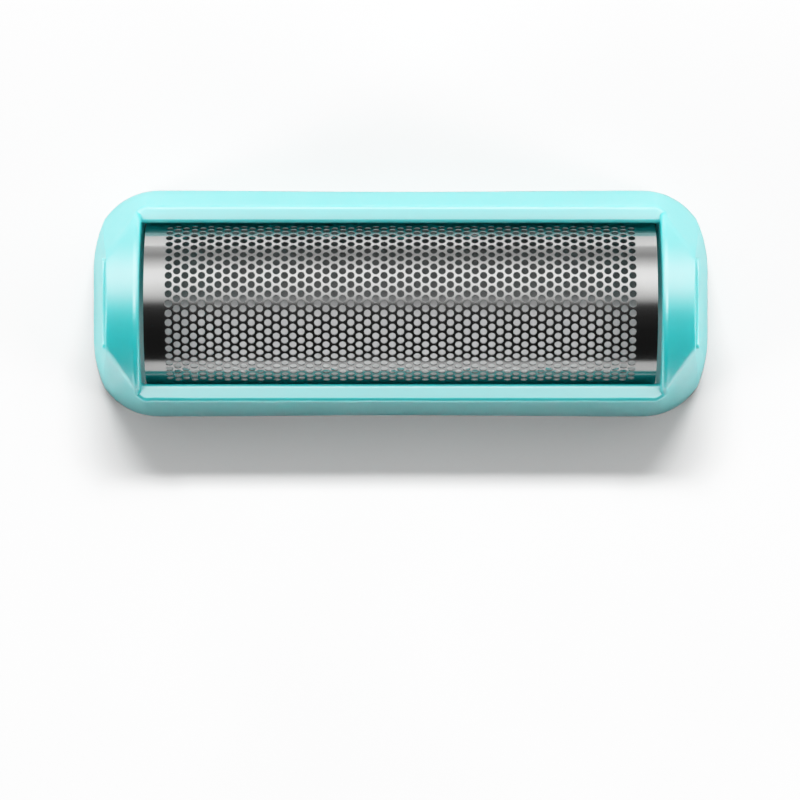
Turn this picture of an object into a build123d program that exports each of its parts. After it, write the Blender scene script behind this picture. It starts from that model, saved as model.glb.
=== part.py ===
from build123d import *
from math import atan, cos, degrees, radians, sin, sqrt
import os

os.makedirs("parts", exist_ok=True)

# Foil head of a small electric shaver. X runs along the head, Y across it, Z is up
# (away from the shaver's body). The origin is the centre of the seat rim's plane.

# ---- driving dimensions, mm ----
FRAME_L = 55.0          # length over the seat rim
FRAME_W = 20.24         # width over the seat rim near its corners
WAIST = 0.11            # each long side of the rim draws in by this much half way
PLAN_R = 5.82           # plan corner of the seat rim
FACE_X = 26.2           # the end face begins here on the rim
FACE_FLAT = 3.0         # half width of the end face's straight middle
FACE_R = 11.0           # plan radius of the end face beyond it
RAIL_Z = 6.4            # top of the long rails
SIDE_DRAFT = 0.231      # long walls lean in by this much per mm of height
CORNER_DRAFT = 0.44     # the same where the corner runs into the end face
END_DRAFT = 0.17        # end faces lean in by this much per mm of height
OPEN_Y = 7.15           # half width of the opening, also the face the foil lies on
CAP_X = 22.9            # inner face of each end cap
CAP_PEAK = 11.4         # crown height at the inner face of a cap
CAP_SLOPE = 0.5         # crown falls by this much per mm going outward
CROWN_R = 10.3          # crown radius across the head
CROWN_BLEND = 1.8       # blend between crown and wall at the inner face of a cap
NOSE_BLEND = 2.0        # the same at the end face
RIM_R = 0.4             # rounding of the caps' inner rims and the rails' outer edges
RAIL_R = 0.3            # rounding of the rails' inner edges
NOSE_R = 0.15           # rounding of the edge above each end face
LOFT_X = 19.0           # the caps' flowing shape starts here
LOFT_STEP = 0.6
LOW = -0.3              # caps start below the seat plane and are cut back to it
TALL = 16.0

FLANGE_T = 0.75         # wall that the foil's leg lies on
FLANGE_Z = 1.2          # its lower edge
SKIRT_T = 1.2           # outer skirt
GROOVE_Z = 4.0          # top of the groove between skirt and flange
POCKET_X0, POCKET_X1 = 24.1, 25.9   # hollow under each cap, open downward
POCKET_Y = 5.2
POCKET_R = 0.8
POCKET_H = 7.2
POCKET_TAPER = 4.0
CATCH_W = 5.0           # snap catch in each hollow

PAD_W = 7.96            # raised grip pad on each end wall
PAD_Z0, PAD_Z1 = 6.9, 8.7
PAD_T = 0.18
PAD_R = 0.4

FOIL_R = 7.15           # outside radius of the arch
FOIL_T = 0.08
FOIL_CZ = 3.5           # height of the arch's centre
FOIL_LEG_Z = 1.6        # lower edge of the legs
FOIL_HALF = 22.54       # half length
HOLE_R = 0.305
HOLE_COLS = 57
COL_PITCH = 0.727       # along the head
ROW_PITCH = 0.84        # along the arch
ROWS_EACH_WAY = 10      # rows beyond the middle one, even columns

PIN_R = 0.45            # staking pins
PIN_HOLE_R = 0.5
PIN_Z = 2.6
PIN_PITCH = 6.5
PIN_COUNT = 7
HEAD_R = 0.85
HEAD_H = 0.36
STRIP_T = 1.0           # clamping strips
STRIP_Z0, STRIP_Z1 = 1.6, 3.5
STRIP_HALF = 21.5

half_l, half_w = FRAME_L / 2, FRAME_W / 2
rail_y = half_w - SIDE_DRAFT * RAIL_Z    # half width over the rails' outer edges, straight from cap to cap


def ramp(x, start, soft):
    """Zero before start and x - start after it, with a soft bend between."""
    return ((x - start) + sqrt((x - start) ** 2 + 4 * soft**2)) / 2


def waist(x):
    return WAIST * (1 - min(1.0, (x / 20.0) ** 2)) ** 2


def rim_half_width(x):
    """Half width of the seat rim at x: waisted side, then the plan corner, then running on."""
    u = ramp(min(x, FACE_X), half_l - PLAN_R, 0.3)
    w = half_w - PLAN_R + sqrt(PLAN_R**2 - u * u) - waist(x)
    return w - 1.25 * max(0.0, x - FACE_X)


def ease(x, start, end):
    """Value that goes smoothly from start at a cap's inner face to end at its end face."""
    t = max(0.0, min(1.0, (x - CAP_X) / (FACE_X - CAP_X)))
    return start + (end - start) * t * t * (3 - 2 * t)


def ease_early(x, start, end):
    """The same, with most of the change near the inner face."""
    t = max(0.0, min(1.0, (x - CAP_X) / (FACE_X - CAP_X)))
    return start + (end - start) * (1 - (1 - t) ** 2)


lean = atan(END_DRAFT)
pin_x = [(i - (PIN_COUNT - 1) / 2) * PIN_PITCH for i in range(PIN_COUNT)]
strip_y = OPEN_Y - FOIL_T - STRIP_T      # inner face of the clamping strips
cap_stations = [LOFT_X + i * LOFT_STEP for i in range(16)]
mid_stations = [LOFT_X * (i / 3 - 1) for i in range(7)]

# ---- staking pin, standing on the face the foil lies on, with its formed head ----
with BuildPart() as stake:
    reach = FOIL_T + STRIP_T
    cap_r = (HEAD_R**2 + (HEAD_H - 0.08) ** 2) / (2 * (HEAD_H - 0.08))
    with BuildSketch(Plane.XZ):
        with BuildLine():
            Polyline(
                (0, reach + HEAD_H),
                (0, -0.3),
                (PIN_R, -0.3),
                (PIN_R, reach),
                (HEAD_R, reach),
                (HEAD_R, reach + 0.08),
            )
            ThreePointArc(
                (HEAD_R, reach + 0.08),
                (HEAD_R / 2, reach + HEAD_H - cap_r + sqrt(cap_r**2 - HEAD_R**2 / 4)),
                (0, reach + HEAD_H),
            )
        make_face()
    revolve(axis=Axis.Z)

# ---- frame ----
with BuildPart() as outer_frame:
    # one end cap: cross-sections of leaning walls under a crown, lofted outward
    for x in cap_stations:
        w = rim_half_width(x)
        k = ease_early(x, (rim_half_width(min(x, CAP_X)) - rail_y) / RAIL_Z, CORNER_DRAFT)
        h = CAP_PEAK - CAP_SLOPE * (x - CAP_X)
        c = h - CROWN_R
        # where the leaning wall meets the crown's circle
        qa, qb, qc = k * k + 1, -2 * (w * k + c), w * w + c * c - CROWN_R**2
        z = (-qb + sqrt(qb * qb - 4 * qa * qc)) / (2 * qa)
        y = w - k * z
        with BuildSketch(Plane.YZ.offset(x)) as section:
            with BuildLine():
                Polyline((-y, z), (-(w - k * LOW), LOW), (w - k * LOW, LOW), (y, z))
                ThreePointArc((y, z), (0, h), (-y, z))
            make_face()
            fillet(section.vertices().group_by(Axis.Y)[-1], ease(x, CROWN_BLEND, NOSE_BLEND))
    loft()

    # its end face, leaning in with height
    far = 10.9
    far_x = half_l - FACE_R + sqrt(FACE_R**2 - (far - FACE_FLAT) ** 2)
    mid_x = half_l - FACE_R + FACE_R * cos(radians(20))
    mid_y = FACE_FLAT + FACE_R * sin(radians(20))
    with BuildSketch(Plane.XY):
        with BuildLine():
            Polyline((far_x, far), (8, far), (8, -far), (far_x, -far))
            ThreePointArc((far_x, -far), (mid_x, -mid_y), (half_l, -FACE_FLAT))
            Line((half_l, -FACE_FLAT), (half_l, FACE_FLAT))
            ThreePointArc((half_l, FACE_FLAT), (mid_x, mid_y), (far_x, far))
        make_face()
    extrude(amount=TALL, taper=degrees(lean), mode=Mode.INTERSECT)
    mirror(about=Plane.YZ)

    # waisted middle up to the rails
    for x in mid_stations:
        w = rim_half_width(abs(x))
        y = rail_y
        with BuildSketch(Plane.YZ.offset(x)):
            with BuildLine():
                Polyline((-w, 0), (w, 0), (y, RAIL_Z), (-y, RAIL_Z), close=True)
            make_face()
    loft()

    # rail level between the caps, and the opening for the foil
    with Locations((0, 0, RAIL_Z)):
        Box(2 * CAP_X, 40, 20, align=(Align.CENTER, Align.CENTER, Align.MIN), mode=Mode.SUBTRACT)
    Box(2 * CAP_X, 2 * OPEN_Y, 40, mode=Mode.SUBTRACT)

    # rounded edges: caps' inner rims with the rails' outer edges, end faces, rails inside
    level = outer_frame.edges().filter_by_position(Axis.Z, RAIL_Z - 0.01, RAIL_Z + 0.01)
    long_level = level.filter_by(lambda e: e.bounding_box().size.X > 3)
    rims = outer_frame.edges().filter_by(
        lambda e: abs(abs(e.center().X) - CAP_X) < 0.02 and e.center().Z > RAIL_Z + 0.02
    )
    fillet(rims + long_level.filter_by(lambda e: abs(e.center().Y) > OPEN_Y + 0.5), RIM_R)
    fillet(
        outer_frame.edges().filter_by(lambda e: abs(e.center().X) > 25.5 and e.center().Z > 5),
        NOSE_R,
    )
    fillet(
        outer_frame.edges()
        .filter_by_position(Axis.Z, RAIL_Z - 0.01, RAIL_Z + 0.01)
        .filter_by(lambda e: e.bounding_box().size.X > 30 and abs(e.center().Y) < OPEN_Y + 0.1),
        RAIL_R,
    )

    # raised grip pad on each end face
    for side in (1, -1):
        face = Plane(
            origin=(side * half_l, 0, 0),
            x_dir=(0, side, 0),
            z_dir=(side * cos(lean), 0, sin(lean)),
        )
        with BuildSketch(face.offset(-0.3)):
            with Locations((0, (PAD_Z0 + PAD_Z1) / 2 / cos(lean))):
                RectangleRounded(PAD_W, (PAD_Z1 - PAD_Z0) / cos(lean), PAD_R)
        extrude(amount=0.3 + PAD_T)

    # underside: groove between skirt and flange, flange cut short
    with BuildSketch(Plane.YZ.offset(-22.3)):
        with BuildLine():
            Polyline(
                (OPEN_Y + FLANGE_T, -0.1),
                (half_w - SKIRT_T, -0.1),
                (half_w - SKIRT_T - SIDE_DRAFT * GROOVE_Z, GROOVE_Z),
                (OPEN_Y + FLANGE_T, GROOVE_Z),
                close=True,
            )
        make_face()
        mirror(about=Plane.YZ)
    extrude(amount=44.6, mode=Mode.SUBTRACT)
    with Locations((0, OPEN_Y, 0), (0, -OPEN_Y, 0)):
        Box(44.6, 2 * FLANGE_T + 0.1, 2 * FLANGE_Z, mode=Mode.SUBTRACT)

    # hollow under each cap, with a snap catch on its inner wall
    with BuildSketch(Plane.XY):
        with Locations(((POCKET_X0 + POCKET_X1) / 2, 0), (-(POCKET_X0 + POCKET_X1) / 2, 0)):
            RectangleRounded(POCKET_X1 - POCKET_X0, 2 * POCKET_Y, POCKET_R)
    extrude(amount=POCKET_H, taper=POCKET_TAPER, mode=Mode.SUBTRACT)
    with BuildSketch(Plane.XZ.offset(-CATCH_W / 2)):
        with BuildLine():
            Polyline(
                (POCKET_X0 - 0.2, 0.8), (POCKET_X0, 0.8), (POCKET_X0 + 0.7, 1.9),
                (POCKET_X0 + 0.7, 2.2), (POCKET_X0, 2.6), (POCKET_X0 - 0.2, 2.6),
                close=True,
            )
        make_face()
        mirror(about=Plane.YZ)
    extrude(amount=CATCH_W)

    # staking pins on both flanges
    with Locations(
        *[
            Plane(origin=(x, side * OPEN_Y, PIN_Z), x_dir=(1, 0, 0), z_dir=(0, -side, 0)).location
            for side in (1, -1)
            for x in pin_x
        ]
    ):
        add(stake.part)

outer_frame.part.label = "outer_frame"
export_step(outer_frame.part, "parts/outer_frame.step")

# ---- foil: one arch-shaped column of the sheet with its holes, even and odd ----
step = ROW_PITCH / FOIL_R
mid_r = FOIL_R - FOIL_T / 2
even_rows = [i * step for i in range(-ROWS_EACH_WAY, ROWS_EACH_WAY + 1)]
odd_rows = [(i + 0.5) * step for i in range(-ROWS_EACH_WAY - 1, ROWS_EACH_WAY + 1)]

with BuildSketch(Plane.YZ) as foil_arch:
    with BuildLine():
        CenterArc((0, FOIL_CZ), FOIL_R, 0, 180)
        Line((-FOIL_R, FOIL_CZ), (-(FOIL_R - FOIL_T), FOIL_CZ))
        CenterArc((0, FOIL_CZ), FOIL_R - FOIL_T, 0, 180)
        Line((FOIL_R - FOIL_T, FOIL_CZ), (FOIL_R, FOIL_CZ))
    make_face()

with BuildPart() as even_column:
    extrude(foil_arch.sketch, amount=COL_PITCH / 2, both=True)
    with Locations(
        *[
            Plane(
                origin=(0, mid_r * sin(t), FOIL_CZ + mid_r * cos(t)),
                x_dir=(1, 0, 0),
                z_dir=(0, sin(t), cos(t)),
            ).location
            for t in even_rows
        ]
    ):
        Cylinder(HOLE_R, 4 * FOIL_T, mode=Mode.SUBTRACT)

with BuildPart() as odd_column:
    extrude(foil_arch.sketch, amount=COL_PITCH / 2, both=True)
    with Locations(
        *[
            Plane(
                origin=(0, mid_r * sin(t), FOIL_CZ + mid_r * cos(t)),
                x_dir=(1, 0, 0),
                z_dir=(0, sin(t), cos(t)),
            ).location
            for t in odd_rows
        ]
    ):
        Cylinder(HOLE_R, 4 * FOIL_T, mode=Mode.SUBTRACT)

col_x = [(i - (HOLE_COLS - 1) / 2) * COL_PITCH for i in range(HOLE_COLS)]
margin = FOIL_HALF - HOLE_COLS * COL_PITCH / 2

with BuildPart() as foil_margin:
    extrude(foil_arch.sketch, amount=margin / 2, both=True)

# a straight leg, with the holes that the staking pins pass through
with BuildPart() as foil_leg:
    with BuildSketch(Plane.XZ):
        with Locations((0, (FOIL_CZ + FOIL_LEG_Z) / 2)):
            Rectangle(2 * FOIL_HALF, FOIL_CZ - FOIL_LEG_Z)
        with Locations(*[(x, PIN_Z) for x in pin_x]):
            Circle(PIN_HOLE_R, mode=Mode.SUBTRACT)
    extrude(amount=FOIL_T / 2, both=True)

# the sheet: all columns side by side between two plain margins, and both legs
with BuildPart() as shaving_foil:
    with Locations(*[(x, 0, 0) for x in col_x[0::2]]):
        add(even_column.part, clean=False)
    with Locations(*[(x, 0, 0) for x in col_x[1::2]]):
        add(odd_column.part, clean=False)
    with Locations((FOIL_HALF - margin / 2, 0, 0), (-FOIL_HALF + margin / 2, 0, 0)):
        add(foil_margin.part, clean=False)
    with Locations((0, mid_r, 0), (0, -mid_r, 0)):
        add(foil_leg.part, clean=False)

shaving_foil.part.label = "shaving_foil"
export_step(shaving_foil.part, "parts/shaving_foil.step")

# ---- clamping strips ----
with BuildPart() as rear_foil_strip:
    with BuildSketch(Plane.XZ.offset(-strip_y)):
        with Locations((0, (STRIP_Z0 + STRIP_Z1) / 2)):
            RectangleRounded(2 * STRIP_HALF, STRIP_Z1 - STRIP_Z0, 0.4)
        with Locations(*[(x, PIN_Z) for x in pin_x]):
            Circle(PIN_HOLE_R, mode=Mode.SUBTRACT)
    extrude(amount=-STRIP_T)
    chamfer(rear_foil_strip.faces().sort_by(Axis.Y)[0].outer_wire().edges(), 0.2)

rear_foil_strip.part.label = "rear_foil_strip"
export_step(rear_foil_strip.part, "parts/rear_foil_strip.step")

with BuildPart() as front_foil_strip:
    add(rear_foil_strip.part)
    mirror(about=Plane.XZ, mode=Mode.REPLACE)

front_foil_strip.part.label = "front_foil_strip"
export_step(front_foil_strip.part, "parts/front_foil_strip.step")
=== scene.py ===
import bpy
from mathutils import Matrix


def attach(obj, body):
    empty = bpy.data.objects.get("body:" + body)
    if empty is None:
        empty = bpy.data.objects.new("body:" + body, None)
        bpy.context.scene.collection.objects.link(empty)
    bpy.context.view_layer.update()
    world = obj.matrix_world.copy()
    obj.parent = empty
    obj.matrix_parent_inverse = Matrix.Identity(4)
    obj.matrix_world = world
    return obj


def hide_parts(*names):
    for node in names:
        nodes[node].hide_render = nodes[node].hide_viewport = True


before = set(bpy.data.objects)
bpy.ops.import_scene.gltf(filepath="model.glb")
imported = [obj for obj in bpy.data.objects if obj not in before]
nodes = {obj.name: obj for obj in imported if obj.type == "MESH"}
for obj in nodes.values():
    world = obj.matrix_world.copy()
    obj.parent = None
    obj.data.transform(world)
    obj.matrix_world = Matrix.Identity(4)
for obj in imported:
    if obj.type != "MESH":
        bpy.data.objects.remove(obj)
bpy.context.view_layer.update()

import math

import bpy
from mathutils import Vector
from mathutils.geometry import tessellate_polygon

MM = 0.001
scene = bpy.context.scene


# ---------------------------------------------------------------- camera
# straight down on the crown of the foil, with the head in the upper half of the picture
cam = bpy.data.cameras.new("camera")
cam.sensor_width = 36.0
cam.lens = 231.0
cam.shift_x, cam.shift_y = -0.0008, -0.1206
cam.clip_start, cam.clip_end = 0.01, 20.0
camera = bpy.data.objects.new("camera", cam)
camera.location = (0.0, 0.0, 0.460)
scene.collection.objects.link(camera)
scene.camera = camera
scene.view_settings.view_transform = "Standard"
scene.view_settings.look = "None"
# highlights roll off softly, as they do on a photograph
scene.view_settings.use_curve_mapping = True
response = scene.view_settings.curve_mapping
response.white_level = (1.3, 1.3, 1.3)
tone = response.curves[3]
for value, shown in ((0.70, 0.70), (1.0, 0.89), (1.15, 0.96)):
    tone.points.new(value / 1.3, shown)
for p in tone.points:
    p.handle_type = "VECTOR"
response.update()


# ---------------------------------------------------------------- helpers
def material(name):
    m = bpy.data.materials.new(name)
    m.use_nodes = True
    tree = m.node_tree
    return m, tree, tree.nodes["Principled BSDF"]


def node(tree, kind, **values):
    n = tree.nodes.new(kind)
    for key, value in values.items():
        if hasattr(n, key):
            setattr(n, key, value)
        else:
            n.inputs[key.replace("_", " ")].default_value = value
    return n


def ramp(tree, source, stops, interpolation="LINEAR"):
    n = tree.nodes.new("ShaderNodeValToRGB")
    n.color_ramp.interpolation = interpolation
    elements = n.color_ramp.elements
    while len(elements) < len(stops):
        elements.new(0.5)
    for e, (at, colour) in zip(elements, stops):
        e.position = at
        e.color = (*colour, 1.0) if isinstance(colour, tuple) else (colour, colour, colour, 1.0)
    tree.links.new(source, n.inputs["Fac"])
    return n.outputs["Color"]


def noise(tree, coords, scale, detail=2.0, rough=0.5, stretch=None):
    if stretch:
        m = node(tree, "ShaderNodeMapping", Scale=stretch)
        tree.links.new(coords, m.inputs["Vector"])
        coords = m.outputs["Vector"]
    n = node(tree, "ShaderNodeTexNoise", Scale=scale, Detail=detail, Roughness=rough)
    tree.links.new(coords, n.inputs["Vector"])
    return n.outputs["Fac"]


def spread(tree, source, low, high):
    n = node(tree, "ShaderNodeMapRange", To_Min=low, To_Max=high)
    tree.links.new(source, n.inputs["Value"])
    return n.outputs["Result"]


def bump(tree, height, distance, strength, below=None):
    n = node(tree, "ShaderNodeBump", Strength=strength, Distance=distance)
    tree.links.new(height, n.inputs["Height"])
    if below is not None:
        tree.links.new(below, n.inputs["Normal"])
    return n.outputs["Normal"]


def object_coords(tree):
    return tree.nodes.new("ShaderNodeTexCoord").outputs["Object"]


# ---------------------------------------------------------------- materials
def turquoise_plastic():
    m, t, s = material("turquoise_plastic")
    c = object_coords(t)
    tone = noise(t, c, 160.0, 3.0)
    t.links.new(ramp(t, tone, [(0.3, (0.003, 0.785, 0.800)), (0.7, (0.004, 0.815, 0.827))]), s.inputs["Base Color"])
    t.links.new(spread(t, noise(t, c, 2600.0, 3.0), 0.30, 0.36), s.inputs["Roughness"])
    t.links.new(bump(t, noise(t, c, 1200.0, 1.0), 1e-6, 0.3), s.inputs["Normal"])
    s.inputs["IOR"].default_value = 2.5
    s.inputs["Specular Tint"].default_value = (1.0, 0.74, 0.75, 1.0)
    s.inputs["Specular IOR Level"].default_value = 0.9
    s.inputs["Subsurface Weight"].default_value = 1.0
    s.inputs["Subsurface Radius"].default_value = (0.03, 1.0, 1.0)
    s.inputs["Subsurface Scale"].default_value = 0.0015
    return m


def foil_metal():
    m, t, s = material("foil_metal")
    c = object_coords(t)
    s.inputs["Metallic"].default_value = 1.0
    t.links.new(ramp(t, noise(t, c, 220.0, 3.0), [(0.3, (0.320, 0.320, 0.317)), (0.7, (0.352, 0.352, 0.348))]), s.inputs["Base Color"])
    streak = noise(t, c, 1.0, 3.0, 0.6, stretch=(900.0, 14000.0, 14000.0))
    t.links.new(spread(t, streak, 0.11, 0.19), s.inputs["Roughness"])
    t.links.new(bump(t, streak, 5e-7, 0.4), s.inputs["Normal"])
    return m


def strip_plastic():
    m, t, s = material("pale_strip_plastic")
    c = object_coords(t)
    t.links.new(ramp(t, noise(t, c, 500.0, 3.0), [(0.3, (0.66, 0.68, 0.67)), (0.7, (0.74, 0.76, 0.75))]), s.inputs["Base Color"])
    t.links.new(spread(t, noise(t, c, 5000.0, 2.0), 0.45, 0.6), s.inputs["Roughness"])
    t.links.new(bump(t, noise(t, c, 9000.0, 3.0), 4e-6, 0.5), s.inputs["Normal"])
    return m


def pale_floor():
    m, t, s = material("pale_floor")
    c = object_coords(t)
    t.links.new(ramp(t, noise(t, c, 30.0, 2.0), [(0.3, (0.275, 0.275, 0.275)), (0.7, (0.29, 0.29, 0.29))]), s.inputs["Base Color"])
    s.inputs["Roughness"].default_value = 0.7
    s.inputs["Specular IOR Level"].default_value = 0.2
    return m


# ---------------------------------------------------------------- foil
# The sheet with its rolled hole edges. x runs along the head, s is the length round the
# arch from its crown, and d the depth below the outer face.
FOIL_R, FOIL_T, FOIL_CZ, FOIL_LEG_Z, FOIL_HALF = 7.15, 0.08, 3.5, 1.6, 22.54
COLS, COL_PITCH, ROW_PITCH, ROWS = 57, 0.727, 0.84, 10
PIN_Z, PIN_PITCH, PIN_COUNT, PIN_HOLE_R = 2.6, 6.5, 7, 0.5
ARC = FOIL_R * math.pi / 2
SIDES = 12
LIP = ((0.348, 0.0, 0.0), (0.322, 0.010, 0.75), (0.305, 0.036, 1.45))   # radius, depth, lean of the normal


def on_sheet(x, s, d):
    if abs(s) <= ARC:
        a = s / FOIL_R
        return Vector((x, (FOIL_R - d) * math.sin(a), FOIL_CZ + (FOIL_R - d) * math.cos(a)))
    return Vector((x, math.copysign(FOIL_R - d, s), FOIL_CZ - (abs(s) - ARC)))


def out_of_sheet(s):
    a = max(-math.pi / 2, min(math.pi / 2, s / FOIL_R))
    return Vector((0.0, math.sin(a), math.cos(a)))


def along_sheet(s):
    n = out_of_sheet(s)
    return Vector((0.0, n.z, -n.y))


class Sheet:
    def __init__(self):
        self.points, self.normals, self.faces, self.shared = [], [], [], {}

    def add(self, x, s, d, normal):
        self.points.append(on_sheet(x, s, d) * MM)
        self.normals.append(normal.normalized())
        return len(self.points) - 1

    def pair(self, x, s):
        """Outer and inner vertex at one place of the sheet, made once."""
        key = (round(x, 4), round(s, 4))
        if key not in self.shared:
            n = out_of_sheet(s)
            self.shared[key] = (self.add(x, s, 0.0, n), self.add(x, s, FOIL_T, -n))
        return self.shared[key]

    def both(self, places, flip=False):
        """A face of the outer side and the one under it, for places in counter-clockwise order."""
        pairs = [self.pair(*p) for p in places]
        if flip:
            pairs.reverse()
        self.faces.append([p[0] for p in pairs])
        self.faces.append([p[1] for p in reversed(pairs)])

    def rim(self, places):
        """Edge face along an open border, for places with the sheet on their left."""
        pairs = [self.pair(*p) for p in places]
        for a, b in zip(pairs, pairs[1:]):
            self.faces.append([b[0], a[0], a[1], b[1]])

    def ring(self, a, b):
        for j in range(len(a)):
            k = (j + 1) % len(a)
            self.faces.append([a[j], a[k], b[k], b[j]])


def hole_cell(sheet, x, s):
    a, p = COL_PITCH, ROW_PITCH
    outline = [(2 * a / 3, 0), (a / 2, p / 4), (a / 3, p / 2), (0, p / 2), (-a / 3, p / 2), (-a / 2, p / 4),
               (-2 * a / 3, 0), (-a / 2, -p / 4), (-a / 3, -p / 2), (0, -p / 2), (a / 3, -p / 2), (a / 2, -p / 4)]
    border = [sheet.pair(x + u, s + v) for u, v in outline]
    rings = [[b[0] for b in border]]
    turns = [(math.cos(2 * math.pi * j / SIDES), math.sin(2 * math.pi * j / SIDES)) for j in range(SIDES)]
    for r, d, lean in LIP:
        ring = []
        for u, v in turns:
            here = s + r * v
            inward = Vector((-u, 0.0, 0.0)) - along_sheet(here) * v
            ring.append(sheet.add(x + r * u, here, d, out_of_sheet(here) * math.cos(lean) + inward * math.sin(lean)))
        rings.append(ring)
    r = LIP[-1][0]
    ring = []
    for u, v in turns:
        here = s + r * v
        inward = Vector((-u, 0.0, 0.0)) - along_sheet(here) * v
        ring.append(sheet.add(x + r * u, here, FOIL_T, inward - out_of_sheet(here)))
    rings.append(ring)
    rings.append([b[1] for b in border])
    for one, two in zip(rings, rings[1:]):
        sheet.ring(one, two)


def build_foil():
    sheet = Sheet()
    a, p = COL_PITCH, ROW_PITCH
    xs = [(i - (COLS - 1) / 2) * a for i in range(COLS)]
    for i, x in enumerate(xs):
        rows = [k * p for k in range(-ROWS, ROWS + 1)] if i % 2 == 0 else [(k + 0.5) * p for k in range(-ROWS - 1, ROWS + 1)]
        for s in rows:
            hole_cell(sheet, x, s)
    # plain bands at the two ends
    quarter = int(round((ROWS + 0.5) * 4))
    for side, x in ((-1, xs[0]), (1, xs[-1])):
        for q in range(-quarter, quarter):
            def edge(n):
                phase = (n + quarter) % 4          # 0 between two holes, 2 beside one
                return x + side * a * (1 / 3, 1 / 2, 2 / 3, 1 / 2)[phase], n * p / 4
            low, high = edge(q), edge(q + 1)
            mid_low, mid_high = (x + side * a, low[1]), (x + side * a, high[1])
            end_low, end_high = (side * FOIL_HALF, low[1]), (side * FOIL_HALF, high[1])
            sheet.both([low, mid_low, mid_high, high], flip=side < 0)
            sheet.both([mid_low, end_low, end_high, mid_high], flip=side < 0)
    # plain sheet between the last rows of holes and the legs, and the legs with their pin holes
    lines = [9.5, 9.9, 10.25, 10.6, 10.92, ARC]
    bottom = ARC + FOIL_CZ - FOIL_LEG_Z
    for side in (1, -1):
        path = [(-FOIL_HALF, 10.5 * p), (xs[0] - a, 10.5 * p)]
        for i, x in enumerate(xs):
            if i % 2 == 0:
                path += [(x - a / 3, 10.5 * p), (x, 10.5 * p), (x + a / 3, 10.5 * p)]
            else:
                path += [(x - a / 2, 10.75 * p), (x - a / 3, 11 * p), (x, 11 * p), (x + a / 3, 11 * p), (x + a / 2, 10.75 * p)]
        path += [(xs[-1] + a, 10.5 * p), (FOIL_HALF, 10.5 * p)]
        rows = [path] + [[(x, s) for x, _ in path] for s in lines]
        for low, high in zip(rows, rows[1:]):
            for j in range(len(path) - 1):
                quad = [low[j], low[j + 1], high[j + 1], high[j]]
                sheet.both([(x, side * s) for x, s in quad], flip=side < 0)
        feet = [(FOIL_HALF * k / 14, bottom) for k in range(14, -15, -1)]
        outer = [*rows[-1], *feet]
        loops = [outer]
        centre_s = ARC + FOIL_CZ - PIN_Z
        for k in range(PIN_COUNT):
            x0 = (k - (PIN_COUNT - 1) / 2) * PIN_PITCH
            loops.append([(x0 + PIN_HOLE_R * math.cos(t * math.pi / 8), centre_s + PIN_HOLE_R * math.sin(t * math.pi / 8)) for t in range(16)])
        flat = [q for loop in loops for q in loop]
        for tri in tessellate_polygon([[Vector((x, s, 0.0)) for x, s in loop] for loop in loops]):
            (x0, s0), (x1, s1), (x2, s2) = (flat[k] for k in tri)
            turn = (x1 - x0) * (s2 - s0) - (x2 - x0) * (s1 - s0)
            if abs(turn) < 1e-9:
                continue
            sheet.both([(flat[k][0], side * flat[k][1]) for k in tri], flip=(turn < 0) != (side < 0))
        for loop in loops[1:]:
            ring = [(x, side * s) for x, s in (loop + loop[:1])]
            sheet.rim(ring[::-1] if side > 0 else ring)
        foot = [(x, side * s) for x, s in feet]
        sheet.rim(foot if side > 0 else foot[::-1])
    # edges of the sheet at both ends
    for side in (-1, 1):
        ss = [bottom, *reversed(lines)] + [n * p / 4 for n in range(quarter, -quarter - 1, -1)] + [-s for s in lines] + [-bottom]
        border = [(side * FOIL_HALF, s) for s in ss]
        sheet.rim(border if side < 0 else border[::-1])
    mesh = bpy.data.meshes.new("foil_sheet")
    mesh.from_pydata(sheet.points, [], sheet.faces)
    mesh.validate()
    mesh.polygons.foreach_set("use_smooth", [True] * len(mesh.polygons))
    mesh.normals_split_custom_set_from_vertices(sheet.normals)
    mesh.update()
    foil = bpy.data.objects.new("perforated_foil", mesh)
    scene.collection.objects.link(foil)
    return foil


foil = build_foil()
foil.data.materials.append(foil_metal())
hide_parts("shaving_foil")
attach(foil, "root")


def dress(name, m):
    data = nodes[name].data
    data.materials.clear()
    data.materials.append(m)


dress("outer_frame", turquoise_plastic())
strip = strip_plastic()
dress("front_foil_strip", strip)
dress("rear_foil_strip", strip)


# ---------------------------------------------------------------- floor and light
half = 3.0
ground = bpy.data.meshes.new("floor")
ground.from_pydata([(-half, -half, -2e-5), (half, -half, -2e-5), (half, half, -2e-5), (-half, half, -2e-5)], [], [(0, 1, 2, 3)])
floor = bpy.data.objects.new("floor", ground)
floor.data.materials.append(pale_floor())
scene.collection.objects.link(floor)

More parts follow.
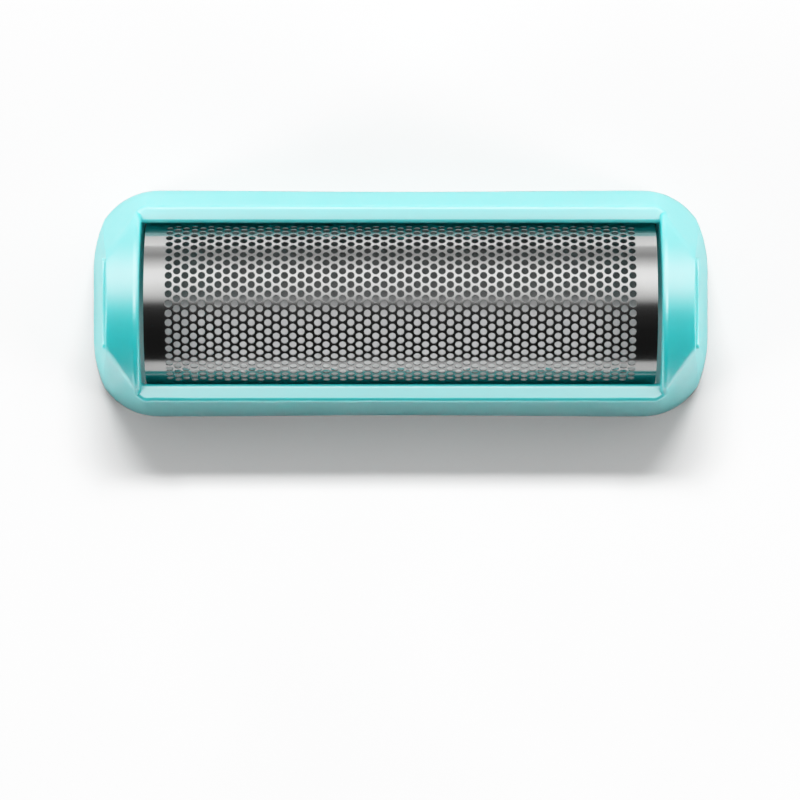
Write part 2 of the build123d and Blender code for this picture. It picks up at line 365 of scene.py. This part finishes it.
# one broad soft light that fills the far half of the sky and fades towards its rim,
# against a dark near half
world = bpy.data.worlds.new("studio")
world.use_nodes = True
scene.world = world
t = world.node_tree
parts = t.nodes.new("ShaderNodeSeparateXYZ")
t.links.new(t.nodes.new("ShaderNodeTexCoord").outputs["Generated"], parts.inputs["Vector"])
roll = t.nodes.new("ShaderNodeMath")
roll.operation = "ARCTAN2"
t.links.new(parts.outputs["Y"], roll.inputs[0])
t.links.new(parts.outputs["Z"], roll.inputs[1])
span = node(t, "ShaderNodeMapRange", From_Min=-math.pi / 2, From_Max=math.pi / 2)
t.links.new(roll.outputs[0], span.inputs["Value"])


def at(deg):
    return (deg + 90.0) / 180.0


glow = ramp(t, span.outputs["Result"], [
    (at(-90), 0.007), (at(-38), 0.010), (at(-18), 0.018), (at(-8), 0.028), (at(-4), 0.034), (at(0), 0.10), (at(3), 0.34), (at(10), 0.60), (at(20), 0.79),
    (at(36), 1.0), (at(47), 0.98), (at(58), 0.70), (at(73), 0.27), (at(83), 0.42), (at(90), 0.46)])
t.links.new(glow, t.nodes["Background"].inputs["Color"])
t.nodes["Background"].inputs["Strength"].default_value = 2.3

# soft boxes: two overhead for the frame's flat tops, and low ones round about that only
# lift the floor to white
frame_only = bpy.data.collections.new("frame_only")
frame_only.objects.link(nodes["outer_frame"])
floor_only = bpy.data.collections.new("floor_only")
floor_only.objects.link(floor)


def soft_box(name, place, size, energy, onto, spread=180.0):
    lamp = bpy.data.lights.new(name, "AREA")
    lamp.shape = "RECTANGLE"
    lamp.size, lamp.size_y = size
    lamp.energy = energy
    lamp.spread = math.radians(spread)
    box = bpy.data.objects.new(name, lamp)
    box.location = place
    box.rotation_euler = (-Vector(place)).to_track_quat("-Z", "Y").to_euler()
    box.visible_camera = False
    box.light_linking.receiver_collection = onto
    scene.collection.objects.link(box)


for side in (-1, 1):
    soft_box("top_box", (side * 0.18, 0.0, 0.60), (0.14, 0.10), 0.43, frame_only)
    soft_box("floor_box", (side * 0.41, -0.165, 0.070), (0.40, 0.03), 0.38, floor_only, 30.0)
soft_box("floor_far_box", (0.0, 1.208, 1.050), (1.00, 0.20), 114.0, floor_only)
